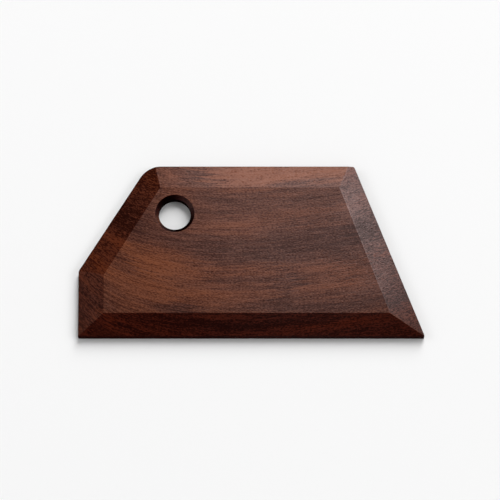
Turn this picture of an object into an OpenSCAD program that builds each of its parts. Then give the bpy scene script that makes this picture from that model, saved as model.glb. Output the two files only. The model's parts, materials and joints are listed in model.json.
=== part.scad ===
// Flat hand scraper, cut from one solid piece of walnut. It is an irregular five-sided plate with a
// sloping bevel along every side of its top face, a low square edge under the bevels, one rounded
// corner and a plain hanging hole. The origin is on the underside, below the middle of the plate's
// length and width. +X runs along the working edge, +Y from the working edge to the top edge, and
// +Z up through the thickness.

/* [Outline] */
// Length of the whole plate, from the heel to the rounded tip
plate_l = 140; // [125:0.1:180]
// Width of the plate, from the working edge to the top edge
plate_w = 72.3; // [62:0.1:95]
// Height of the short square side at the left, called the heel
heel_h = 27.7; // [18:0.1:40]
// Distance from the left side to the shoulder, where the slanted side would meet the top edge
shoulder_in = 27.6; // [18:0.1:40]
// Distance from the tip, as if it were sharp, back to the nose, where the top edge ends
nose_in = 28.1; // [12:0.1:45]

/* [Thickness] */
// Thickness of the plate inside the bevels
plate_t = 5.5; // [4.8:0.1:9]
// Least height of the square edge under every bevel but the top one
edge_t = 3.3; // [1.5:0.1:4]
// Height of the square edge under the top bevel
top_edge_t = 4; // [2:0.1:4.6]

/* [Bevels] */
// Width of the bevel along the working edge
working_bevel_w = 9.3; // [5:0.1:14]
// Width of the nose bevel at the right tip
nose_bevel_tip_w = 9.9; // [6:0.1:14]
// Width of the nose bevel at the top edge
nose_bevel_top_w = 9; // [4:0.1:12]
// Width of the bevel along the top edge
top_bevel_w = 9.5; // [5:0.1:12]
// Width of the slanted bevel at the shoulder
slant_bevel_top_w = 9.5; // [5:0.1:12]
// Width of the slanted bevel at the heel
slant_bevel_heel_w = 9.9; // [6:0.1:12]
// Width of the heel bevel
heel_bevel_w = 10.3; // [6:0.1:14]

/* [Corners] */
// Radius of the rounded shoulder, seen from above
shoulder_r = 10; // [2:0.1:14]
// Radius of the pointed tip at the right end of the working edge
tip_r = 0.4; // [0.2:0.1:3]
// Radius of the corner between the top edge and the nose side
nose_r = 1; // [0.3:0.1:5]
// Radius of the corner between the heel and the slanted side
heel_r = 1.5; // [0.3:0.1:5]
// Radius of the square corner at the left end of the working edge
foot_r = 0.4; // [0.2:0.1:3]

/* [Hanging hole] */
// Diameter of the hole's straight wall
hole_d = 13; // [8:0.1:15]
// Depth and width of the chamfer round the hole's mouth in the top face
hole_chamfer = 1.5; // [0.5:0.1:2]
// Depth and width of the chamfer round the hole's mouth in the underside
hole_back_chamfer = 1; // [0.5:0.1:2]
// Distance along the top edge from the shoulder to the hole's axis
hole_in = 11.3; // [10:0.1:40]
// Distance from the top edge down to the hole's axis
hole_down = 20.7; // [20.5:0.1:36]

/* [Hidden] */

walnut_colour = "#5b3b32";

// Steps round every arc and circle
round_steps = 96;
// Overrun of every cut past the face it starts from
overrun = 1;
// Each round stands this little over the two sides it joins, so that they cross and leave no sliver
round_lap = 0.001;
// Reach of the bevel cuts, which clears the plate in every direction
cut_reach = plate_l + plate_w;

// Angle between the working edge and the nose side, and how far the tip would reach if it were sharp
tip_angle = atan2(plate_w, nose_in);
tip_reach = tip_r / tan(tip_angle / 2) - tip_r;

left_x = -plate_l / 2;
sharp_x = plate_l / 2 + tip_reach;
front_y = -plate_w / 2;
back_y = plate_w / 2;

foot = [left_x, front_y];
tip = [sharp_x, front_y];
nose = [sharp_x - nose_in, back_y];
shoulder = [left_x + shoulder_in, back_y];
heel = [left_x, front_y + heel_h];

// Corners of the outline as if they were sharp, and their radii, counter-clockwise from above
CORNERS = [foot, tip, nose, shoulder, heel];
CORNER_RADII = [foot_r, tip_r, nose_r, shoulder_r, heel_r];

hole_at = shoulder + [hole_in, -hole_down];
hole_r = hole_d / 2;

function unit(v) = v / norm(v);
function corner(i) = CORNERS[(i + len(CORNERS)) % len(CORNERS)];

// Directions from corner i to its two neighbours
function to_last(i) = unit(corner(i - 1) - corner(i));
function to_next(i) = unit(corner(i + 1) - corner(i));

// Half of the angle inside corner i
function half_angle(i) = acos(to_last(i) * to_next(i)) / 2;

// Distance from corner i to where its round starts
function tangent_l(i) = CORNER_RADII[i] / tan(half_angle(i));

// Centre of the round at corner i
function round_centre(i) =
    corner(i) + unit(to_last(i) + to_next(i)) * CORNER_RADII[i] / sin(half_angle(i));

// The two ends of the round at corner i
function round_ends(i) =
    [for (direction = [to_last(i), to_next(i)]) corner(i) + direction * tangent_l(i)];

// Shape of the plate from above
module outline() {
    polygon([for (i = [0 : len(CORNERS) - 1]) each round_ends(i)]);
    for (i = [0 : len(CORNERS) - 1])
        translate(round_centre(i))
            circle(r = CORNER_RADII[i] + round_lap, $fn = round_steps);
}

// Everything above the bevel along the side from corner a to corner b. The bevel is a_w wide at a
// and b_w wide at b. It falls away from the top face, down to the height low where it is widest.
module bevel_cut(a, b, a_w, b_w, low) {
    side = b - a;
    inward = unit([-side.y, side.x]);
    start = a + inward * a_w;
    taper = atan2(b_w - a_w, norm(side));
    slope = atan2(plate_t - low, max(a_w, b_w) * cos(taper));
    translate([start.x, start.y, plate_t])
        rotate([0, 0, atan2(side.y, side.x) + taper])
            rotate([slope, 0, 0])
                translate([-cut_reach, -cut_reach, 0])
                    cube([2 * cut_reach, cut_reach + overrun, cut_reach]);
}

// The five bevels
module bevel_cuts() {
    bevel_cut(foot, tip, working_bevel_w, working_bevel_w, edge_t);
    bevel_cut(tip, nose, nose_bevel_tip_w, nose_bevel_top_w, edge_t);
    bevel_cut(nose, shoulder, top_bevel_w, top_bevel_w, top_edge_t);
    bevel_cut(shoulder, heel, slant_bevel_top_w, slant_bevel_heel_w, edge_t);
    bevel_cut(heel, foot, heel_bevel_w, heel_bevel_w, edge_t);
}

// Plain round hole through the plate, chamfered at 45 degrees round both mouths
module hanging_hole() {
    flare_h = hole_chamfer + overrun;
    back_flare_h = hole_back_chamfer + overrun;
    translate(hole_at) {
        translate([0, 0, -overrun])
            cylinder(h = plate_t + 2 * overrun, r = hole_r, $fn = round_steps);
        translate([0, 0, plate_t - hole_chamfer])
            cylinder(h = flare_h, r1 = hole_r, r2 = hole_r + flare_h, $fn = round_steps);
        translate([0, 0, -overrun])
            cylinder(h = back_flare_h, r1 = hole_r + back_flare_h, r2 = hole_r, $fn = round_steps);
    }
}

// The whole scraper, one piece of wood
module scraper_plate() {
    color(walnut_colour)
        difference() {
            linear_extrude(plate_t)
                outline();
            bevel_cuts();
            hanging_hole();
        }
}

scraper_plate();
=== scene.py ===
"""Looks of a flat hand scraper cut from one piece of oiled walnut.

The plate is modelled again with its arrises sanded soft, finished in a solid walnut pattern that runs
through the whole thickness, and set on a plain pale floor in soft studio light. Lengths are in metres
unless a name says otherwise. +X runs along the working edge towards the pointed tip, +Y from the
working edge to the top edge, and +Z up through the thickness.
"""

import json
import logging
import math
from dataclasses import dataclass, field
from enum import Enum
from typing import ClassVar

import bmesh
import bpy
from mathutils import Matrix, Vector


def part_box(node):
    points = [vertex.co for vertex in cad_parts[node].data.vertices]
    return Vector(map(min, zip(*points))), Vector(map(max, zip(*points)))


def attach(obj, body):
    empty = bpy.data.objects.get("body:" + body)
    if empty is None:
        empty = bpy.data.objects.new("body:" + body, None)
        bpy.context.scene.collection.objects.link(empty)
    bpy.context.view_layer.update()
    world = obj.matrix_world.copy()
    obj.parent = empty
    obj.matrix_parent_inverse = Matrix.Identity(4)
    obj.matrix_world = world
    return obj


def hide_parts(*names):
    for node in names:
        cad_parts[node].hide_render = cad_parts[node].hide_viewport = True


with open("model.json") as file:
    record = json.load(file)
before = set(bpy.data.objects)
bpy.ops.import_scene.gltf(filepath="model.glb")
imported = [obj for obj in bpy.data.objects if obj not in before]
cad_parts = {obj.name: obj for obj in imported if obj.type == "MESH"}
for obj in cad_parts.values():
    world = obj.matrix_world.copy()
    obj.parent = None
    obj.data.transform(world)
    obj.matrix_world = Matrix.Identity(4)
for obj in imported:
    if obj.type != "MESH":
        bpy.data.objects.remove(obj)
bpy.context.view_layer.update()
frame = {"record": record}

# Short names for types
Socket = bpy.types.NodeSocket
Pair = tuple[float, float]
Triple = tuple[float, float, float]

MM = 0.001
ROOT_BODY = "root"
PLATE_NODE = "scraper_plate"
HOLE_MOUNT = "hanging_hole"
IMAGE_SIDE_PX = 500
WHITE = (1.0, 1.0, 1.0, 1.0)

# Face attributes of the plate that its finish reads. The first darkens the wood, partly as oil
# that it drank and partly as painted shade on the facets, edges and hole that face away from the
# lamps: 0 is dry wood, 1 a well oiled bevel, 2 end grain and 3 burnt wood. The second is the share
# of its sheen that the wood lost, and is negative where it was rubbed glossier.
SOAK_AND_SHADE_LAYER = "oil_soak_and_shade"
MATT_LAYER = "matt_edge"

# Height of the face that the figure is laid on, and how far under it a streak fades out
TOP_FACE_MM = 5.5
STREAK_DEPTH_MM = 40.0

# Place of the nose bevel among the bevels, which follow the sides from the foot
NOSE_BEVEL = 1

# The colour sockets of a Mix node, which share their names with its other sockets
MIX_FIRST = 6
MIX_SECOND = 7
MIX_RESULT = 2

# Heights that differ by less count as level, and points of a cut that lie closer count as one
LEVEL_GAP = 1e-7
CUT_GAP = 1e-8

log = logging.getLogger("scraper")


class Tone(Enum):
    """How a streak differs from the wood round it: how much lighter, warmer and glossier."""

    HONEY = (0.50, 0.30, 0.0)
    RUST = (0.10, 0.50, 0.0)
    PLUM = (-0.25, -0.40, 0.0)
    INK = (-0.50, -0.10, 0.0)
    SLATE = (-0.35, -0.40, -0.20)
    # PEARL paints the wood lighter as well as glossier: its lightness is partly painted sheen
    PEARL = (0.15, -0.20, 0.20)


@dataclass(frozen=True)
class Streak:
    """One soft streak of another tone in the walnut.

    The place is the streak's middle, seen from above. The reach is how far it fades out along the
    grain and across it, both in millimetres, and the turn is its angle to the grain. At a strength of
    1 its middle differs from the wood round it by the whole tone.
    """

    tone: Tone
    at_mm: Pair
    reach_mm: Pair
    strength: float = 1.0
    turn_deg: float = 0.0


@dataclass(frozen=True)
class WoodNoise:
    """Soft noise in the wood: its lumps per millimetre, its start, its fineness and its strength."""

    per_mm: Triple
    shift: Triple = (0.0, 0.0, 0.0)
    detail: float = 2.0
    roughness: float = 0.5
    strength: float = 1.0


class Shading:
    """A material's node tree, with one short method for each kind of node that the finishes use."""

    def __init__(self, name: str) -> None:
        """Starts an empty material.

        Args:
            name: The material's name.
        """
        self.material = bpy.data.materials.new(name)
        self.material.use_nodes = True
        self.tree = self.material.node_tree
        self.tree.nodes.clear()

    def node(self, kind: str, **settings: object) -> bpy.types.Node:
        """Adds a node.

        Args:
            kind: The node's Blender type.
            settings: The node's own properties, by name.

        Returns:
            The new node.
        """
        made = self.tree.nodes.new(kind)
        for name, value in settings.items():
            setattr(made, name, value)
        return made

    def feed(self, socket: Socket, value: object) -> None:
        """Links an output to a socket, or sets the socket to a plain value.

        Args:
            socket: The input to fill.
            value: An output socket, a number, or a colour or vector.
        """
        if isinstance(value, Socket):
            self.tree.links.new(value, socket)
        else:
            socket.default_value = value

    def maths(self, operation: str, *values: object) -> Socket:
        """Adds a Math node.

        Args:
            operation: The Math node's operation.
            values: Its inputs, as numbers or output sockets.

        Returns:
            The node's value.
        """
        made = self.node("ShaderNodeMath", operation=operation)
        for socket, value in zip(made.inputs, values):
            self.feed(socket, value)
        return made.outputs["Value"]

    def vector_maths(self, operation: str, *values: object, output: str = "Vector") -> Socket:
        """Adds a Vector Math node.

        Args:
            operation: The Vector Math node's operation.
            values: Its inputs, as vectors or output sockets.
            output: The name of the output that is wanted.

        Returns:
            That output.
        """
        made = self.node("ShaderNodeVectorMath", operation=operation)
        for socket, value in zip(made.inputs, values):
            self.feed(socket, value)
        return made.outputs[output]

    def joined(self, *parts: object) -> Socket:
        """Joins up to three numbers into a vector.

        Args:
            parts: X, Y and Z, as numbers or output sockets. What is left out is 0.

        Returns:
            The vector.
        """
        made = self.node("ShaderNodeCombineXYZ")
        for socket, part in zip(made.inputs, parts):
            self.feed(socket, part)
        return made.outputs["Vector"]

    def split(self, vector: Socket) -> list[Socket]:
        """Splits a vector into its parts.

        Args:
            vector: The vector.

        Returns:
            Its X, Y and Z.
        """
        made = self.node("ShaderNodeSeparateXYZ")
        self.feed(made.inputs["Vector"], vector)
        return list(made.outputs)

    def attribute(self, name: str) -> Socket:
        """Reads one of the mesh's own attributes."""
        return self.node("ShaderNodeAttribute", attribute_name=name).outputs["Fac"]

    def step(self, value: object, low: float, high: float) -> Socket:
        """Rises smoothly from 0 to 1 while a value goes from low to high.

        Args:
            value: The value that is looked at.
            low: Where the result is 0.
            high: Where the result is 1. It may lie below low.

        Returns:
            The smooth step.
        """
        made = self.node("ShaderNodeMapRange", interpolation_type="SMOOTHSTEP")
        self.feed(made.inputs["Value"], value)
        self.feed(made.inputs["From Min"], low)
        self.feed(made.inputs["From Max"], high)
        return made.outputs["Result"]

    def placed(
        self,
        vector: Socket,
        scale: Triple = (1.0, 1.0, 1.0),
        shift: Triple = (0.0, 0.0, 0.0),
        turn: float = 0.0,
        kind: str = "POINT",
    ) -> Socket:
        """Scales, turns and shifts a pattern with a Mapping node.

        Args:
            vector: The coordinates that are changed.
            scale: The scale along each axis.
            shift: The shift along each axis.
            turn: The turn about Z, in radians.
            kind: The Mapping node's type, POINT or TEXTURE.

        Returns:
            The changed coordinates.
        """
        made = self.node("ShaderNodeMapping", vector_type=kind)
        self.feed(made.inputs["Vector"], vector)
        made.inputs["Scale"].default_value = scale
        made.inputs["Location"].default_value = shift
        made.inputs["Rotation"].default_value = (0.0, 0.0, turn)
        return made.outputs["Vector"]

    def noise(self, place: Socket, kind: WoodNoise) -> Socket:
        """Adds soft noise with a mean of 0.

        Args:
            place: The place in the wood, in millimetres.
            kind: The noise's scale, start, fineness and strength.

        Returns:
            The noise. It reaches about half of its strength to either side.
        """
        made = self.node("ShaderNodeTexNoise")
        self.feed(made.inputs["Vector"], self.placed(place, kind.per_mm, kind.shift))
        made.inputs["Scale"].default_value = 1.0
        made.inputs["Detail"].default_value = kind.detail
        made.inputs["Roughness"].default_value = kind.roughness
        centred = self.maths("SUBTRACT", made.outputs["Fac"], 0.5)
        return self.maths("MULTIPLY", centred, kind.strength)

    def blend(self, share: object, first: object, second: object) -> Socket:
        """Mixes two colours.

        Args:
            share: How much of the second colour shows, from 0 to 1.
            first: The colour at 0.
            second: The colour at 1.

        Returns:
            The mixed colour.
        """
        made = self.node("ShaderNodeMix", data_type="RGBA", clamp_factor=True)
        self.feed(made.inputs["Factor"], share)
        self.feed(made.inputs[MIX_FIRST], first)
        self.feed(made.inputs[MIX_SECOND], second)
        return made.outputs[MIX_RESULT]


@dataclass(frozen=True)
class GrainFlow:
    """How the grain runs, seen from above: steeply down at the heel, then level, then gently up.

    The dip is how far it shifts across the plate for each unit of height.
    """

    rise: float = 0.165
    sweep_mm: float = 17.55
    sweep_from_mm: float = -50.0
    sweep_reach_mm: float = 30.0
    dip: float = 0.8
    waver: WoodNoise = WoodNoise((0.026, 0.06, 0.1), detail=1.0, strength=1.6)

    def height_mm(self, along: float) -> float:
        """Gives how far a line of grain has climbed.

        Args:
            along: The place along the plate, in millimetres.

        Returns:
            The climb, in millimetres.
        """
        fade = math.exp((self.sweep_from_mm - along) / self.sweep_reach_mm)
        return self.rise * along + self.sweep_mm * fade

    def coordinates(self, shading: Shading, place: Socket) -> Socket:
        """Straightens the grain, so that a pattern drawn along X follows it.

        Args:
            shading: The material's nodes.
            place: The place in the plate, in millimetres.

        Returns:
            The place along the grain, across it and through the plate's thickness.
        """
        along, across, up = shading.split(place)
        faded = shading.maths("SUBTRACT", self.sweep_from_mm, along)
        faded = shading.maths("DIVIDE", faded, self.sweep_reach_mm)
        swept = shading.maths("MULTIPLY", shading.maths("EXPONENT", faded), self.sweep_mm)
        climbed = shading.maths("MULTIPLY_ADD", along, -self.rise, across)
        climbed = shading.maths("SUBTRACT", climbed, swept)
        climbed = shading.maths("MULTIPLY_ADD", up, self.dip, climbed)
        climbed = shading.maths("ADD", climbed, shading.noise(place, self.waver))
        return shading.joined(along, climbed, up)


# The figure of this board, listed one streak after another: the flat face first, then the top,
# slanted, heel, working and nose bevels
FIGURE = (
    Streak(Tone.PLUM, (-43.0, 10.0), (10.0, 9.0), 0.3),
    Streak(Tone.PLUM, (-30.0, 4.0), (24.0, 6.0), 0.35),
    Streak(Tone.SLATE, (-10.0, 0.0), (28.0, 8.0), 0.6),
    Streak(Tone.SLATE, (22.0, 2.0), (30.0, 9.0), 0.7),
    Streak(Tone.PLUM, (39.0, 5.0), (13.0, 10.0), 0.6),
    Streak(Tone.HONEY, (-34.0, -6.5), (20.0, 9.0), 1.2),
    Streak(Tone.RUST, (-48.0, -4.0), (14.0, 10.0), 0.4),
    Streak(Tone.PLUM, (-47.0, 1.5), (9.0, 4.0), 0.5),
    Streak(Tone.RUST, (-40.0, -12.0), (32.0, 24.0), 0.4),
    Streak(Tone.PLUM, (-50.0, -7.0), (8.0, 6.0), 1.0),
    Streak(Tone.HONEY, (-46.0, -15.0), (22.0, 10.0), 0.7),
    Streak(Tone.PLUM, (-31.0, -14.0), (13.0, 6.0), 0.4),
    Streak(Tone.RUST, (-8.0, -12.0), (26.0, 5.0), 0.45),
    Streak(Tone.HONEY, (-16.0, -19.0), (30.0, 6.0), 0.8),
    Streak(Tone.PLUM, (-30.0, -25.5), (16.0, 4.0), 1.15),
    Streak(Tone.INK, (-30.0, -25.5), (16.0, 4.0), 0.2),
    Streak(Tone.HONEY, (-52.0, -23.0), (12.0, 6.0), 0.15),
    Streak(Tone.PLUM, (-8.0, -14.0), (18.0, 4.0), 0.5),
    Streak(Tone.RUST, (2.0, -8.5), (24.0, 2.8), 0.8),
    Streak(Tone.HONEY, (30.0, -7.5), (17.0, 2.6), 0.55, -2.0),
    Streak(Tone.PLUM, (13.0, -5.5), (12.0, 4.0), 0.35),
    Streak(Tone.HONEY, (32.0, -13.0), (28.0, 5.0), 0.55, 3.0),
    Streak(Tone.PLUM, (15.0, -15.0), (6.0, 9.0), 1.0),
    Streak(Tone.PLUM, (42.0, -23.0), (26.0, 7.0), 0.7),
    Streak(Tone.PLUM, (12.0, -25.0), (22.0, 5.0), 0.9),
    Streak(Tone.PEARL, (24.0, 23.0), (24.0, 6.0), 0.25),
    Streak(Tone.HONEY, (-8.0, 10.0), (26.0, 5.0), 0.75),
    Streak(Tone.HONEY, (20.0, 16.0), (28.0, 3.5), 0.35),
    Streak(Tone.HONEY, (0.0, 5.0), (9.0, 3.0), 0.5),
    Streak(Tone.RUST, (-32.0, 25.0), (18.0, 5.0), 0.7),
    Streak(Tone.PEARL, (39.0, 18.0), (9.0, 10.0), 1.6),
    Streak(Tone.PEARL, (50.0, -15.0), (9.0, 9.0), 1.8),
    # The light streaks on the top bevel are partly painted light, as that bevel faces the lamps
    Streak(Tone.HONEY, (0.0, 32.0), (30.0, 8.0), 1.7),
    Streak(Tone.HONEY, (32.0, 33.0), (28.0, 6.0), 1.6),
    Streak(Tone.HONEY, (-34.0, 31.0), (10.0, 6.0), 0.55),
    Streak(Tone.INK, (-22.0, 30.5), (11.0, 3.0), 1.15, -8.0),
    Streak(Tone.INK, (20.0, 29.3), (14.0, 2.6), 1.25),
    Streak(Tone.RUST, (-42.0, 32.0), (9.0, 7.0), 0.9),
    Streak(Tone.INK, (-41.0, 32.0), (8.0, 5.0), 0.8),
    Streak(Tone.INK, (-42.5, 26.8), (8.0, 2.2), 0.6),
    Streak(Tone.INK, (-52.0, 13.0), (9.0, 9.0), 1.1),
    Streak(Tone.HONEY, (-57.0, 4.5), (11.0, 3.6), 1.0),
    Streak(Tone.RUST, (-63.0, -6.0), (11.0, 6.0), 1.0),
    Streak(Tone.HONEY, (-59.0, -1.0), (8.0, 4.0), 0.35),
    Streak(Tone.HONEY, (-68.5, -13.0), (8.0, 6.0), 0.7),
    Streak(Tone.PLUM, (-66.0, -20.0), (11.0, 6.5), 0.7),
    Streak(Tone.PLUM, (-66.0, -29.0), (10.0, 5.0), 0.6),
    Streak(Tone.RUST, (-52.0, -31.0), (24.0, 2.6), 0.6),
    Streak(Tone.HONEY, (-56.0, -30.0), (16.0, 0.9), 1.5),
    Streak(Tone.INK, (-54.0, -31.6), (18.0, 0.9), 1.4),
    Streak(Tone.HONEY, (-58.0, -33.0), (16.0, 0.9), 1.5),
    Streak(Tone.INK, (-8.0, -33.0), (50.0, 3.4), 0.9),
    Streak(Tone.HONEY, (-5.0, -28.3), (28.0, 2.0), 0.5),
    Streak(Tone.RUST, (36.0, -32.0), (36.0, 3.8), 1.3),
    Streak(Tone.PLUM, (42.0, 27.0), (8.0, 6.0), 0.15),
    Streak(Tone.HONEY, (44.5, 20.0), (9.0, 4.0), 0.7, 12.0),
    Streak(Tone.SLATE, (48.0, 9.0), (9.0, 10.5), 1.45),
    Streak(Tone.HONEY, (54.0, -1.8), (8.0, 1.5), 1.6, 14.0),
    Streak(Tone.PLUM, (45.0, -2.5), (9.0, 4.0), 0.7),
    Streak(Tone.SLATE, (54.0, -8.0), (9.0, 8.0), 0.35),
    Streak(Tone.PLUM, (60.0, -21.0), (8.0, 6.0), 1.1),
    Streak(Tone.HONEY, (64.0, -29.0), (9.0, 5.0), 0.25),
)


@dataclass(frozen=True)
class OiledWalnut:
    """Satin oiled walnut: the tones of the wood, its figure, its pores and its sheen.

    Dry wood lies between the dark and the light colours. The higher its soak, the more it takes of
    the tints for oiled wood, end grain and burnt wood, each on top of the last. The soak is partly
    oil that the wood drank and partly painted shade, so these tints also paint the shade on the
    facets, edges and hole that face away from the lamps.
    """

    name: str = "oiled_walnut"
    dark_cool: Triple = (0.026, 0.0080, 0.0055)
    dark_warm: Triple = (0.048, 0.0100, 0.0040)
    light_cool: Triple = (0.110, 0.0420, 0.0290)
    light_warm: Triple = (0.195, 0.0580, 0.0220)
    # Tints that darken the wood as its soak rises: partly oil and burnt wood, partly painted shade
    soaked_and_shaded: Triple = (0.33, 0.16, 0.15)
    soaked_contrast: float = 0.9
    soaked_fibre: float = 0.45
    end_grain_and_shade: Triple = (0.65, 0.30, 0.28)
    scorched_and_shade: Triple = (0.15, 0.30, 0.35)
    sheen_tint: Triple = (1.0, 0.75, 0.72)
    sheen_level: float = 0.64
    worn_sheen_level: float = 0.11
    polished_at_mm: Triple = (25.0, 26.0, 0.0)
    polished_fade_mm: Pair = (88.0, 20.0)
    lightness: float = 0.42
    warmth: float = 0.45
    roughness: float = 0.30
    bands: WoodNoise = WoodNoise((0.016, 0.55, 0.55), detail=4.0, roughness=0.6, strength=0.95)
    drift: WoodNoise = WoodNoise((0.03, 0.22, 0.22), (7.0, 3.0, 1.0), strength=0.5)
    fray_along: WoodNoise = WoodNoise((0.07, 1.1, 1.1), (0.0, 5.0, 2.0), detail=3.0, strength=40.0)
    fray_across: WoodNoise = WoodNoise((0.05, 0.7, 0.7), (4.0, 0.0, 9.0), detail=3.0, strength=7.0)
    hairs: WoodNoise = WoodNoise((0.15, 2.1, 2.1), roughness=0.6, strength=1.4)
    flecks: WoodNoise = WoodNoise((1.1, 3.3, 3.3), (3.0, 1.0, 6.0), detail=1.0, strength=1.9)
    wiping: WoodNoise = WoodNoise((0.08, 0.5, 0.5), (2.0, 8.0, 0.0), strength=0.1)
    pores_per_mm: Triple = (0.65, 2.3, 2.3)
    pore_fade: Pair = (0.42, 0.16)
    pore_chance: Pair = (0.35, 0.75)
    pore_lightness: float = -0.25
    pore_gloss: float = -0.5
    pore_roughness: float = 0.12
    fibre_gloss: float = 0.75
    relief_height: float = 0.04 * MM
    relief_strength: float = 0.6
    flow: GrainFlow = GrainFlow()
    figure: tuple[Streak, ...] = FIGURE

    def make(self) -> bpy.types.Material:
        """Makes the material.

        Returns:
            The material, patterned in Object coordinates.
        """
        shading = Shading(self.name)
        place = shading.node("ShaderNodeTexCoord").outputs["Object"]
        place = shading.placed(place, scale=(1.0 / MM, 1.0 / MM, 1.0 / MM))
        grain = self.flow.coordinates(shading, place)
        fibre = self._fibre(shading, grain)
        pores = self._pores(shading, grain)
        tone = self._tone(shading, grain)
        sheen = self._sheen(shading, place, tone, fibre, pores)
        shader = shading.node("ShaderNodeBsdfPrincipled")
        shading.feed(shader.inputs["Base Color"], self._colour(shading, tone, fibre, pores))
        shading.feed(shader.inputs["Roughness"], self._roughness(shading, grain, pores))
        shading.feed(shader.inputs["Normal"], self._relief(shading, fibre, pores))
        shading.feed(shader.inputs["Specular IOR Level"], sheen)
        shader.inputs["Specular Tint"].default_value = (*self.sheen_tint, 1.0)
        output = shading.node("ShaderNodeOutputMaterial")
        shading.feed(output.inputs["Surface"], shader.outputs["BSDF"])
        return shading.material

    def _tone(self, shading: Shading, grain: Socket) -> Socket:
        """Lays the figure: the streaks, with bands of growth between them.

        Args:
            shading: The material's nodes.
            grain: The place along the grain, across it and through the thickness.

        Returns:
            The lightness as X, the warmth as Y and the gain in gloss as Z.
        """
        frayed = self._frayed(shading, grain)
        tone = (self.lightness, self.warmth, 0.0)
        for streak in self.figure:
            tone = self._with_streak(shading, frayed, tone, streak)
        growth = shading.joined(shading.noise(grain, self.bands), shading.noise(grain, self.drift))
        return shading.vector_maths("ADD", tone, growth)

    def _frayed(self, shading: Shading, grain: Socket) -> Socket:
        """Frays the grain's coordinates into fibres, so that the streaks have no clean edge.

        Args:
            shading: The material's nodes.
            grain: The coordinates that are frayed.

        Returns:
            The frayed coordinates.
        """
        along = shading.noise(grain, self.fray_along)
        across = shading.noise(grain, self.fray_across)
        return shading.vector_maths("ADD", grain, shading.joined(along, across))

    def _with_streak(self, shading: Shading, grain: Socket, tone: object, streak: Streak) -> Socket:
        """Lays one streak.

        Args:
            shading: The material's nodes.
            grain: The place along the grain, across it and through the thickness.
            tone: The tone so far.
            streak: The streak.

        Returns:
            The tone with the streak.
        """
        along, across = streak.at_mm
        middle = (along, across - self.flow.height_mm(along) + self.flow.dip * TOP_FACE_MM, 0.0)
        fade = shading.node("ShaderNodeTexGradient", gradient_type="SPHERICAL")
        around = shading.placed(
            grain,
            scale=(*streak.reach_mm, STREAK_DEPTH_MM),
            shift=middle,
            turn=math.radians(streak.turn_deg),
            kind="TEXTURE",
        )
        shading.feed(fade.inputs["Vector"], around)
        change = Vector(streak.tone.value) * streak.strength
        return shading.vector_maths("MULTIPLY_ADD", fade.outputs["Fac"], change, tone)

    def _fibre(self, shading: Shading, grain: Socket) -> Socket:
        """Gives the fine fibre: long hairs along the grain, and short flecks on top of them.

        Args:
            shading: The material's nodes.
            grain: The place along the grain, across it and through the thickness.

        Returns:
            Fine noise with a mean of 0.
        """
        hairs = shading.noise(grain, self.hairs)
        flecks = shading.noise(grain, self.flecks)
        return shading.maths("ADD", flecks, hairs)

    def _pores(self, shading: Shading, grain: Socket) -> Socket:
        """Scatters short open pores along the grain.

        Args:
            shading: The material's nodes.
            grain: The place along the grain, across it and through the thickness.

        Returns:
            1 in a pore and 0 between them.
        """
        cells = shading.node("ShaderNodeTexVoronoi", feature="F1")
        shading.feed(cells.inputs["Vector"], shading.placed(grain, self.pores_per_mm))
        cells.inputs["Scale"].default_value = 1.0
        spot = shading.step(cells.outputs["Distance"], *self.pore_fade)
        chance = shading.node("ShaderNodeSeparateColor")
        shading.feed(chance.inputs["Color"], cells.outputs["Color"])
        open_here = shading.step(chance.outputs["Red"], *self.pore_chance)
        return shading.maths("MULTIPLY", spot, open_here)

    def _colour(self, shading: Shading, tone: Socket, fibre: Socket, pores: Socket) -> Socket:
        """Turns the tone into the wood's colour, darker in its pores and where its soak is higher,
        which is partly oil that it drank and partly painted shade.

        Args:
            shading: The material's nodes.
            tone: The lightness as X and the warmth as Y.
            fibre: The fine fibre noise.
            pores: 1 in a pore.

        Returns:
            The colour.
        """
        light, warm, _ = shading.split(tone)
        soak_and_shade = shading.attribute(SOAK_AND_SHADE_LAYER)
        raised = shading.maths("MULTIPLY_ADD", soak_and_shade, self.soaked_fibre, 1.0)
        light = shading.maths("MULTIPLY_ADD", fibre, raised, light)
        light = shading.maths("MULTIPLY_ADD", pores, self.pore_lightness, light)
        stronger = shading.maths("MULTIPLY", soak_and_shade, self.soaked_contrast)
        lighter = shading.maths("SUBTRACT", light, self.lightness)
        light = shading.maths("MULTIPLY_ADD", lighter, stronger, light)
        dark = shading.blend(warm, (*self.dark_cool, 1.0), (*self.dark_warm, 1.0))
        pale = shading.blend(warm, (*self.light_cool, 1.0), (*self.light_warm, 1.0))
        colour = shading.blend(light, dark, pale)
        # Each stage of soak darkens the colour further: oiled and burnt wood, and painted shade
        for soak_step, stage in enumerate((self.soaked_and_shaded, self.end_grain_and_shade, self.scorched_and_shade)):
            share = shading.maths("SUBTRACT", soak_and_shade, float(soak_step))
            tint = shading.blend(share, WHITE, (*stage, 1.0))
            colour = shading.vector_maths("MULTIPLY", colour, tint)
        return colour

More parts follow.
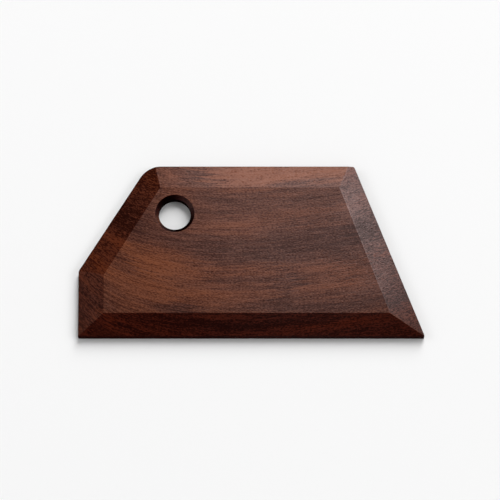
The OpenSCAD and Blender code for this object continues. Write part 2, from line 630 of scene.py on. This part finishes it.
    def _sheen(
        self,
        shading: Shading,
        place: Socket,
        tone: Socket,
        fibre: Socket,
        pores: Socket,
    ) -> Socket:
        """Gives the strength of the sheen: best polished at the top right, and dull on the edges.

        Args:
            shading: The material's nodes.
            place: The place in the plate, in millimetres.
            tone: The figure, with its gain in gloss as Z.
            fibre: The fine fibre noise.
            pores: 1 in a pore.

        Returns:
            The shader's specular level.
        """
        away = shading.vector_maths("DISTANCE", place, self.polished_at_mm, output="Value")
        polished = shading.step(away, *self.polished_fade_mm)
        gain = self.sheen_level - self.worn_sheen_level
        level = shading.maths("MULTIPLY_ADD", polished, gain, self.worn_sheen_level)
        _, _, gloss = shading.split(tone)
        broken = shading.maths("MULTIPLY_ADD", fibre, self.fibre_gloss, 1.0)
        broken = shading.maths("MULTIPLY_ADD", pores, self.pore_gloss, broken)
        level = shading.maths("MULTIPLY", level, shading.maths("ADD", broken, gloss))
        kept = shading.maths("SUBTRACT", 1.0, shading.attribute(MATT_LAYER))
        return shading.maths("MULTIPLY", level, kept)

    def _roughness(self, shading: Shading, grain: Socket, pores: Socket) -> Socket:
        """Gives the satin finish, duller in the pores.

        Args:
            shading: The material's nodes.
            grain: The place along the grain, across it and through the thickness.
            pores: 1 in a pore.

        Returns:
            The roughness.
        """
        rough = shading.maths("ADD", shading.noise(grain, self.wiping), self.roughness)
        return shading.maths("MULTIPLY_ADD", pores, self.pore_roughness, rough)

    def _relief(self, shading: Shading, fibre: Socket, pores: Socket) -> Socket:
        """Sinks the pores and raises the fibres a little.

        Args:
            shading: The material's nodes.
            fibre: The fine fibre noise.
            pores: 1 in a pore.

        Returns:
            The normal.
        """
        height = shading.maths("SUBTRACT", fibre, pores)
        bump = shading.node("ShaderNodeBump")
        bump.inputs["Strength"].default_value = self.relief_strength
        bump.inputs["Distance"].default_value = self.relief_height
        shading.feed(bump.inputs["Height"], height)
        return bump.outputs["Normal"]


@dataclass(frozen=True)
class PaleFloor:
    """The smooth pale surface that the scraper lies on."""

    name: str = "pale_floor"
    colour: tuple[float, float, float, float] = (0.94, 0.94, 0.94, 1.0)

    def make(self) -> bpy.types.Material:
        """Makes the material.

        Returns:
            A matt material, through which a camera below the floor sees the underside.
        """
        shading = Shading(self.name)
        matt = shading.node("ShaderNodeBsdfDiffuse")
        matt.inputs["Color"].default_value = self.colour
        clear = shading.node("ShaderNodeBsdfTransparent")
        side = shading.node("ShaderNodeNewGeometry")
        either = shading.node("ShaderNodeMixShader")
        shading.feed(either.inputs["Fac"], side.outputs["Backfacing"])
        for socket, shader in zip(either.inputs[1:], (matt, clear)):
            shading.feed(socket, shader.outputs["BSDF"])
        output = shading.node("ShaderNodeOutputMaterial")
        shading.feed(output.inputs["Surface"], either.outputs["Shader"])
        return shading.material


@dataclass(frozen=True)
class Corner:
    """One corner of the outline, as if it were sharp, with the radius that rounds it."""

    place: Vector
    radius: float


@dataclass(frozen=True)
class CutPlane:
    """A plane that cuts wood away: what lies on the side of its normal goes.

    The facet that it leaves is darkened by its soak, partly as oil that it drank and partly as
    painted shade, and lost that share of its sheen.
    """

    through: Vector
    normal: Vector
    oil_soak_and_shade: float = 0.0
    matt: float = 0.0


@dataclass
class HangingHole:
    """The plain round hole, chamfered round both mouths.

    The wood inside it is painted dark, partly as burnt wood and partly as painted shade, but two
    stretches of the upper rim stay pale. The stretch at 202 degrees is painted light, where the
    chamfer faces the lamps. Each has the direction in which it lies, in degrees from +X, and how
    pale it is, from 0 to 1.
    """

    # The turns of the section's faces: the underside, the chamfer, the wall, the chamfer, the top face
    FACE_TURNS_DEG: ClassVar[tuple[float, ...]] = (0.0, 45.0, 90.0, 135.0, 180.0)

    centre: Vector
    radius: float
    straight_length: float
    arris_r: float = 0.2 * MM
    arris_steps: int = 3
    steps: int = 128
    reach_radii: float = 2.0
    flat_rise: float = 0.999
    rim_rise: float = 0.1
    # The hole's soak paints it dark as burnt wood and painted shade; the pale rim is painted light
    soak_and_shade: float = 3.0
    rim_soak_and_light: float = 0.0
    rim_matt: float = -1.0
    rim_focus: float = 5.0
    pale_rims: tuple[Pair, ...] = ((202.0, 1.0), (40.0, 0.65))
    matt: float = 1.0

    @classmethod
    def from_record(cls, record: dict) -> "HangingHole":
        """Takes the hole from its mount in the record.

        Args:
            record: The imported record.

        Returns:
            The hole, with its centre, radius and straight length.
        """
        mount = next(m for m in record["mounts"] if m["name"] == HOLE_MOUNT)
        return cls(
            centre=Vector(mount["pos_m"]),
            radius=mount["dims"]["r_mm"] * MM,
            straight_length=mount["dims"]["length_mm"] * MM,
        )

    def section(self, thickness: float) -> list[Pair]:
        """Gives half of the hole's section, from the underside to the top face.

        Args:
            thickness: The plate's thickness.

        Returns:
            Points (distance from the axis, height), with every arris rounded.
        """
        low = self.centre.z - self.straight_length / 2
        high = self.centre.z + self.straight_length / 2
        sharp = [
            (self.radius + low, 0.0),
            (self.radius, low),
            (self.radius, high),
            (self.radius + thickness - high, thickness),
        ]
        turns = [math.radians(turn_deg) for turn_deg in self.FACE_TURNS_DEG]
        points: list[Pair] = []
        for (out, up), comes, leaves in zip(sharp, turns, turns[1:]):
            points += self._rounded(out, up, comes, leaves)
        return points

    def _rounded(self, out: float, up: float, comes: float, leaves: float) -> list[Pair]:
        """Rounds one arris of the section.

        Args:
            out: The sharp arris's distance from the axis.
            up: The sharp arris's height.
            comes: The angle of the wood's face before it, from the underside, in radians.
            leaves: The angle of the wood's face after it, in radians.

        Returns:
            The points of the rounded arris.
        """
        middle = (comes + leaves) / 2
        reach = self.arris_r / math.cos((leaves - comes) / 2)
        centre_out = out + reach * math.sin(middle)
        centre_up = up + reach * math.cos(middle)
        angles = [
            comes + (leaves - comes) * i / self.arris_steps for i in range(self.arris_steps + 1)
        ]
        return [
            (centre_out - self.arris_r * math.sin(angle), centre_up - self.arris_r * math.cos(angle))
            for angle in angles
        ]

    def has(self, face: bmesh.types.BMFace) -> bool:
        """Says whether a face of the plate belongs to the hole.

        Args:
            face: A face of the drilled plate.

        Returns:
            Whether it lies near the hole's axis and isn't part of a flat face.
        """
        spread = (face.calc_center_median() - self.centre).to_2d().length
        return spread < self.reach_radii * self.radius and abs(face.normal.z) < self.flat_rise

    def finish_of(self, face: bmesh.types.BMFace) -> Pair:
        """Gives the finish of one of the hole's faces.

        Args:
            face: A face of the hole.

        Returns:
            Its soak, which darkens it partly as burnt wood and partly as painted shade, less on the
            painted light of the pale rim, and how much sheen it lost.
        """
        out = face.calc_center_median() - self.centre
        direction = math.atan2(out.y, out.x)
        pale = 0.0
        # Painted light: the rim grows pale towards the stretches in pale_rims
        if face.normal.z > self.rim_rise:
            for turn_deg, share in self.pale_rims:
                near = max(0.0, math.cos(direction - math.radians(turn_deg)))
                pale = max(pale, share * near**self.rim_focus)
        soak_and_shade = self.soak_and_shade + (self.rim_soak_and_light - self.soak_and_shade) * pale
        matt = self.matt + (self.rim_matt - self.matt) * pale
        return soak_and_shade, matt

    def drill(self, bm: bmesh.types.BMesh, thickness: float) -> None:
        """Drills the hole through the plate's flat top face and underside.

        Args:
            bm: The plate, with one face on top and one underneath.
            thickness: The plate's thickness.
        """
        heights = (0.0, thickness)
        flats = [
            max((f for f in bm.faces if self._is_level(f, height)), key=lambda f: f.calc_area())
            for height in heights
        ]
        rings = [list(face.edges) for face in flats]
        bmesh.ops.delete(bm, geom=flats, context="FACES_ONLY")
        wall = self._turned_wall(bm, thickness)
        for ring, height in zip(rings, heights):
            mouth = [edge for edge in wall if edge.is_valid and self._is_level(edge, height)]
            bmesh.ops.triangle_fill(bm, use_beauty=True, edges=ring + mouth)

    @staticmethod
    def _is_level(piece: bmesh.types.BMFace | bmesh.types.BMEdge, height: float) -> bool:
        """Says whether a face or an edge lies level at a height."""
        return all(abs(v.co.z - height) < LEVEL_GAP for v in piece.verts)

    def _turned_wall(self, bm: bmesh.types.BMesh, thickness: float) -> list[bmesh.types.BMEdge]:
        """Turns the section round the hole's axis.

        Args:
            bm: The plate that gets the wall.
            thickness: The plate's thickness.

        Returns:
            The wall's edges.
        """
        axis_at = Vector((self.centre.x, self.centre.y, 0.0))
        verts = [
            bm.verts.new(axis_at + Vector((out, 0.0, up))) for out, up in self.section(thickness)
        ]
        edges = [bm.edges.new(pair) for pair in zip(verts, verts[1:])]
        before = set(bm.edges) - set(edges)
        bmesh.ops.spin(
            bm,
            geom=verts + edges,
            cent=axis_at,
            axis=(0.0, 0.0, 1.0),
            angle=math.tau,
            steps=self.steps,
            use_merge=True,
        )
        return [edge for edge in bm.edges if edge not in before]


@dataclass
class ScraperPlate:
    """The whole scraper: an irregular five-sided plate with a bevel along every side of its top.

    Each facet has a soak, which darkens it partly as oil that it drank and partly as painted
    shade, and a matt, which is how much sheen it lost.
    """

    length: float
    width: float
    thickness: float
    hole: HangingHole
    name: str = "walnut_scraper_plate"
    heel_h: float = 27.7 * MM
    shoulder_in: float = 27.6 * MM
    nose_in: float = 28.1 * MM
    edge_t: float = 3.3 * MM
    top_edge_t: float = 4.0 * MM
    working_bevel_w: float = 9.3 * MM
    nose_bevel_tip_w: float = 9.9 * MM
    nose_bevel_top_w: float = 9.0 * MM
    top_bevel_w: float = 9.5 * MM
    slant_bevel_top_w: float = 9.5 * MM
    slant_bevel_heel_w: float = 9.9 * MM
    heel_bevel_w: float = 10.3 * MM
    foot_r: float = 0.4 * MM
    tip_r: float = 0.4 * MM
    nose_r: float = 1.0 * MM
    shoulder_r: float = 10.0 * MM
    heel_r: float = 1.5 * MM
    round_steps: int = 96
    arris_r: float = 0.15 * MM
    crease_r: float = 1.2 * MM
    arris_cuts: int = 3
    least_edge: float = 0.001 * MM
    straight_deg: float = 0.1
    gentle_deg: float = 30.0
    flat_deg: float = 1.0
    facet_slack: float = 1.01
    facet_weight: int = 100
    # The soaks below are partly oil and partly painted shade: the working bevel, facing away from the
    # lamps, is darkest, and the top bevel, facing them, is not darkened. The edges' soak is painted
    # shade as well as end grain.
    face_soak: float = 0.12
    face_matt: float = 0.44
    working_soak_and_shade: float = 1.0
    working_matt: float = 0.62
    nose_soak_and_shade: float = 0.78
    nose_matt: float = 0.07
    top_soak_and_shade: float = 0.0
    top_matt: float = 0.54
    slant_soak_and_shade: float = 0.72
    slant_matt: float = 0.95
    heel_soak_and_shade: float = 0.67
    underside_soak: float = 0.3
    side_soak_and_shade: float = 2.0
    side_matt: float = 0.985
    crease_matt: float = -0.45
    finish: OiledWalnut = field(default_factory=OiledWalnut)

    @classmethod
    def from_frame(cls, record: dict) -> "ScraperPlate":
        """Takes the plate's overall size from its CAD node and its hole from the record.

        Args:
            record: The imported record.

        Returns:
            The plate.
        """
        low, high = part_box(PLATE_NODE)
        size = Vector(high) - Vector(low)
        hole = HangingHole.from_record(record)
        return cls(length=size.x, width=size.y, thickness=size.z, hole=hole)

    def corners(self) -> list[Corner]:
        """Gives the outline's corners, counter-clockwise from above, from the foot.

        Returns:
            The foot, the tip, the nose, the shoulder and the heel.
        """
        tip_half_angle = math.atan2(self.width, self.nose_in) / 2
        tip_reach = self.tip_r / math.tan(tip_half_angle) - self.tip_r
        left = -self.length / 2
        right = self.length / 2 + tip_reach
        front = -self.width / 2
        back = self.width / 2
        return [
            Corner(Vector((left, front)), self.foot_r),
            Corner(Vector((right, front)), self.tip_r),
            Corner(Vector((right - self.nose_in, back)), self.nose_r),
            Corner(Vector((left + self.shoulder_in, back)), self.shoulder_r),
            Corner(Vector((left, front + self.heel_h)), self.heel_r),
        ]

    def build(self) -> bpy.types.Object:
        """Makes the plate's mesh.

        Returns:
            The plate's object, at the origin.
        """
        bm = self._sawn_blank()
        bevels = self._bevel_cuts()
        for cut in bevels:
            self._cut(bm, cut)
        for cut in self._arris_cuts(bm):
            self._cut(bm, cut)
        bmesh.ops.remove_doubles(bm, verts=bm.verts[:], dist=self.least_edge)
        self.hole.drill(bm, self.thickness)
        bmesh.ops.recalc_face_normals(bm, faces=bm.faces)
        self._season_and_paint_shade(bm, bevels)
        mesh = bpy.data.meshes.new(self.name)
        bm.to_mesh(mesh)
        bm.free()
        plate = bpy.data.objects.new(self.name, mesh)
        bpy.context.scene.collection.objects.link(plate)
        weighted = plate.modifiers.new("even_facets", "WEIGHTED_NORMAL")
        weighted.weight = self.facet_weight
        return plate

    def _season_and_paint_shade(self, bm: bmesh.types.BMesh, bevels: list[CutPlane]) -> None:
        """Writes each face's soak, partly oil that it drank and partly painted shade, and how much
        sheen it lost, and shades it smooth.

        The crease between the top face and the nose bevel is rubbed glossier than the rest.

        Args:
            bm: The finished plate.
            bevels: The planes of its bevels.
        """
        soaks = bm.faces.layers.float.new(SOAK_AND_SHADE_LAYER)
        matts = bm.faces.layers.float.new(MATT_LAYER)
        top = CutPlane(Vector(), Vector((0.0, 0.0, 1.0)), self.face_soak, self.face_matt)
        underside = CutPlane(Vector(), Vector((0.0, 0.0, -1.0)), self.underside_soak)
        facets = [top, underside, *bevels]
        rubbed = [top, bevels[NOSE_BEVEL]]
        for face in bm.faces:
            facets.sort(key=lambda plane: plane.normal.angle(face.normal))
            facet, second = facets[:2]
            turn_deg = math.degrees(facet.normal.angle(face.normal))
            finish = (facet.oil_soak_and_shade, facet.matt)
            if turn_deg > self.gentle_deg and self.hole.has(face):
                finish = self.hole.finish_of(face)
            # The edges take the edge soak: end grain and painted shade
            elif turn_deg > self.gentle_deg:
                finish = (self.side_soak_and_shade, self.side_matt)
            elif turn_deg > self.flat_deg and facet in rubbed and second in rubbed:
                finish = (facet.oil_soak_and_shade, self.crease_matt)
            face[soaks], face[matts] = finish
            face.smooth = True

    def _sawn_blank(self) -> bmesh.types.BMesh:
        """Saws the outline out of a board, with its corners rounded.

        Returns:
            The blank at full thickness.
        """
        bm = bmesh.new()
        corners = self.corners()
        for i, corner in enumerate(corners):
            to_last = (corners[i - 1].place - corner.place).normalized()
            to_next = (corners[(i + 1) % len(corners)].place - corner.place).normalized()
            half_angle = to_last.angle(to_next) / 2
            inward = (to_last + to_next).normalized()
            centre = corner.place + inward * corner.radius / math.sin(half_angle)
            for height in (0.0, self.thickness):
                bmesh.ops.create_circle(
                    bm,
                    segments=self.round_steps,
                    radius=corner.radius,
                    matrix=Matrix.Translation((centre.x, centre.y, height)),
                )
        bmesh.ops.convex_hull(bm, input=bm.verts[:])
        bmesh.ops.delete(bm, geom=[v for v in bm.verts if not v.link_faces], context="VERTS")
        bmesh.ops.delete(bm, geom=[e for e in bm.edges if not e.link_faces], context="EDGES")
        straight = math.radians(self.straight_deg)
        bmesh.ops.dissolve_limit(bm, angle_limit=straight, verts=bm.verts[:], edges=bm.edges[:])
        return bm

    def _bevel_cuts(self) -> list[CutPlane]:
        """Gives the planes of the five bevels, in the order of the sides from the foot.

        Returns:
            A plane for each bevel, which falls outwards from the top face.
        """
        foot, tip, nose, shoulder, heel = (corner.place for corner in self.corners())
        working = (self.working_bevel_w, self.working_bevel_w)
        nose_side = (self.nose_bevel_tip_w, self.nose_bevel_top_w)
        top = (self.top_bevel_w, self.top_bevel_w)
        slanted = (self.slant_bevel_top_w, self.slant_bevel_heel_w)
        heel_side = (self.heel_bevel_w, self.heel_bevel_w)
        return [
            self._bevel_cut(foot, tip, working, self.edge_t, self.working_soak_and_shade, self.working_matt),
            self._bevel_cut(tip, nose, nose_side, self.edge_t, self.nose_soak_and_shade, self.nose_matt),
            self._bevel_cut(nose, shoulder, top, self.top_edge_t, self.top_soak_and_shade, self.top_matt),
            self._bevel_cut(shoulder, heel, slanted, self.edge_t, self.slant_soak_and_shade, self.slant_matt),
            self._bevel_cut(heel, foot, heel_side, self.edge_t, self.heel_soak_and_shade),
        ]

    def _bevel_cut(
        self,
        start: Vector,
        end: Vector,
        widths: Pair,
        low: float,
        soak_and_shade: float,
        matt: float = 0.0,
    ) -> CutPlane:
        """Gives the plane of the bevel along one side.

        Args:
            start: The side's first corner.
            end: The side's next corner, counter-clockwise.
            widths: The bevel's width at the first corner and at the next.
            low: The height that the bevel falls to where it is widest.
            soak_and_shade: How dark the bevel is, from 0 to 1: partly oil that it drank and partly
                painted shade.
            matt: How much sheen it lost, from 0 to 1.

        Returns:
            The plane of the bevel.
        """
        start_w, end_w = widths
        side = end - start
        inward = Vector((-side.y, side.x)).normalized()
        crease_start = start + inward * start_w
        crease = (end + inward * end_w) - crease_start
        outward = Vector((crease.y, -crease.x)).normalized()
        fall = self.thickness - low
        run = max(start_w, end_w) * math.cos(side.angle(crease))
        slope = math.atan2(fall, run)
        return CutPlane(
            through=Vector((crease_start.x, crease_start.y, self.thickness)),
            normal=Vector(
                (outward.x * math.sin(slope), outward.y * math.sin(slope), math.cos(slope))
            ),
            oil_soak_and_shade=soak_and_shade,
            matt=matt,
        )

    def _arris_cuts(self, bm: bmesh.types.BMesh) -> list[CutPlane]:
        """Gives the cuts that round every arris and crease of the sharp plate.

        Each is a plane that touches the rounding, so a few together leave it smooth.

        Args:
            bm: The sharp plate.

        Returns:
            The planes.
        """
        facet_deg = 360.0 / self.round_steps
        cuts = []
        for edge in bm.edges:
            first, second = (face.normal.copy() for face in edge.link_faces)
            turn = first.angle(second)
            if math.degrees(turn) <= facet_deg * self.facet_slack:
                continue
            radius = self.crease_r if math.degrees(turn) < self.gentle_deg else self.arris_r
            middle = (first + second).normalized()
            axis_at = edge.verts[0].co - middle * radius / math.cos(turn / 2)
            for i in range(self.arris_cuts):
                normal = first.slerp(second, (i + 0.5) / self.arris_cuts)
                cuts.append(CutPlane(through=axis_at + normal * radius, normal=normal))
        return cuts

    @staticmethod
    def _cut(bm: bmesh.types.BMesh, cut: CutPlane) -> None:
        """Cuts the plate with a plane and closes it again.

        Args:
            bm: The plate, a closed convex solid.
            cut: The plane.
        """
        bmesh.ops.bisect_plane(
            bm,
            geom=bm.verts[:] + bm.edges[:] + bm.faces[:],
            dist=CUT_GAP,
            plane_co=cut.through,
            plane_no=cut.normal,
            clear_outer=True,
        )
        open_edges = [edge for edge in bm.edges if edge.is_boundary]
        if open_edges:
            bmesh.ops.holes_fill(bm, edges=open_edges)

    def dress(self, plate: bpy.types.Object) -> None:
        """Finishes the plate, and ties it to the frame.

        Args:
            plate: The plate's object.
        """
        plate.data.materials.append(self.finish.make())
        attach(plate, ROOT_BODY)
        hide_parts(PLATE_NODE)


@dataclass(frozen=True)
class Softbox:
    """A soft rectangular lamp that faces the middle of the plate."""

    name: str
    place: Triple
    width: float
    height: float
    power: float

    def make(self) -> None:
        """Hangs the lamp."""
        lamp = bpy.data.lights.new(self.name, "AREA")
        lamp.shape = "RECTANGLE"
        lamp.size = self.width
        lamp.size_y = self.height
        lamp.energy = self.power
        holder = bpy.data.objects.new(self.name, lamp)
        holder.location = self.place
        holder.rotation_euler = Vector(self.place).to_track_quat("Z", "Y").to_euler()
        holder.visible_camera = False
        bpy.context.scene.collection.objects.link(holder)


@dataclass
class Studio:
    """The floor and the lights."""

    floor_radius: float = 6.0
    floor_sides: int = 64
    floor_gap: float = 0.02 * MM
    zenith_fill: float = 0.22
    horizon_fill: float = 0.5
    zenith_from: float = 0.5
    backdrop: float = 0.93
    lamps: tuple[Softbox, ...] = (
        Softbox("north_softbox", (1.30, 4.32, 4.00), 3.00, 5.60, 363.0),
        Softbox("east_softbox", (4.40, -0.20, 4.00), 2.80, 2.80, 76.0),
        Softbox("west_softbox", (-5.00, 0.50, 3.75), 2.50, 2.50, 45.0),
    )

    def build(self) -> None:
        """Lays the floor, hangs the lamps and sets the world."""
        self._lay_floor()
        for lamp in self.lamps:
            lamp.make()
        self._light_world()

    def _lay_floor(self) -> None:
        """Lays a wide round floor just under the plate."""
        bm = bmesh.new()
        bmesh.ops.create_circle(
            bm,
            cap_ends=True,
            segments=self.floor_sides,
            radius=self.floor_radius,
            matrix=Matrix.Translation((0.0, 0.0, -self.floor_gap)),
        )
        mesh = bpy.data.meshes.new("floor")
        bm.to_mesh(mesh)
        bm.free()
        mesh.materials.append(PaleFloor().make())
        floor = bpy.data.objects.new("floor", mesh)
        bpy.context.scene.collection.objects.link(floor)

    def _light_world(self) -> None:
        """Lights the room weakly, more so low down, and shows the camera a pale backdrop."""
        world = bpy.data.worlds.new("studio")
        bpy.context.scene.world = world
        world.use_nodes = True
        tree = world.node_tree
        tree.nodes.clear()
        direction = tree.nodes.new("ShaderNodeTexCoord")
        parts = tree.nodes.new("ShaderNodeSeparateXYZ")
        fill = tree.nodes.new("ShaderNodeMapRange")
        fill.interpolation_type = "SMOOTHSTEP"
        fill.inputs["From Min"].default_value = 0.0
        fill.inputs["From Max"].default_value = self.zenith_from
        fill.inputs["To Min"].default_value = self.horizon_fill
        fill.inputs["To Max"].default_value = self.zenith_fill
        rays = tree.nodes.new("ShaderNodeLightPath")
        strength = tree.nodes.new("ShaderNodeMix")
        strength.inputs["B"].default_value = self.backdrop
        background = tree.nodes.new("ShaderNodeBackground")
        background.inputs["Color"].default_value = WHITE
        output = tree.nodes.new("ShaderNodeOutputWorld")
        tree.links.new(direction.outputs["Generated"], parts.inputs["Vector"])
        tree.links.new(parts.outputs["Z"], fill.inputs["Value"])
        tree.links.new(rays.outputs["Is Camera Ray"], strength.inputs["Factor"])
        tree.links.new(fill.outputs["Result"], strength.inputs["A"])
        tree.links.new(strength.outputs["Result"], background.inputs["Strength"])
        tree.links.new(background.outputs["Background"], output.inputs["Surface"])


@dataclass
class ViewCamera:
    """The camera, at the photograph's angle."""

    distance: float = 2.0
    tilt_deg: float = 18.0
    aim: Pair = (-0.48 * MM, 1.59 * MM)
    mm_per_px: float = 0.40704
    sensor: float = 36.0

    def build(self) -> None:
        """Makes the camera and gives it to the scene."""
        lens = bpy.data.cameras.new("view")
        lens.sensor_width = self.sensor
        lens.lens = self.sensor * self.distance / (IMAGE_SIDE_PX * self.mm_per_px * MM)
        camera = bpy.data.objects.new("view", lens)
        tilt = math.radians(self.tilt_deg)
        away = Vector((0.0, -math.sin(tilt), math.cos(tilt)))
        camera.location = Vector((*self.aim, 0.0)) + away * self.distance
        camera.rotation_euler = (tilt, 0.0, 0.0)
        bpy.context.scene.collection.objects.link(camera)
        bpy.context.scene.camera = camera


def main() -> None:
    """Builds the camera, the studio and the scraper."""
    logging.basicConfig(level=logging.INFO, format="%(name)s: %(message)s")
    ViewCamera().build()
    Studio().build()
    scraper = ScraperPlate.from_frame(frame["record"])
    plate = scraper.build()
    scraper.dress(plate)
    log.info("%s: %d faces", plate.name, len(plate.data.polygons))
    bpy.context.scene.view_settings.view_transform = "Standard"


if __name__ == "__main__":
    main()
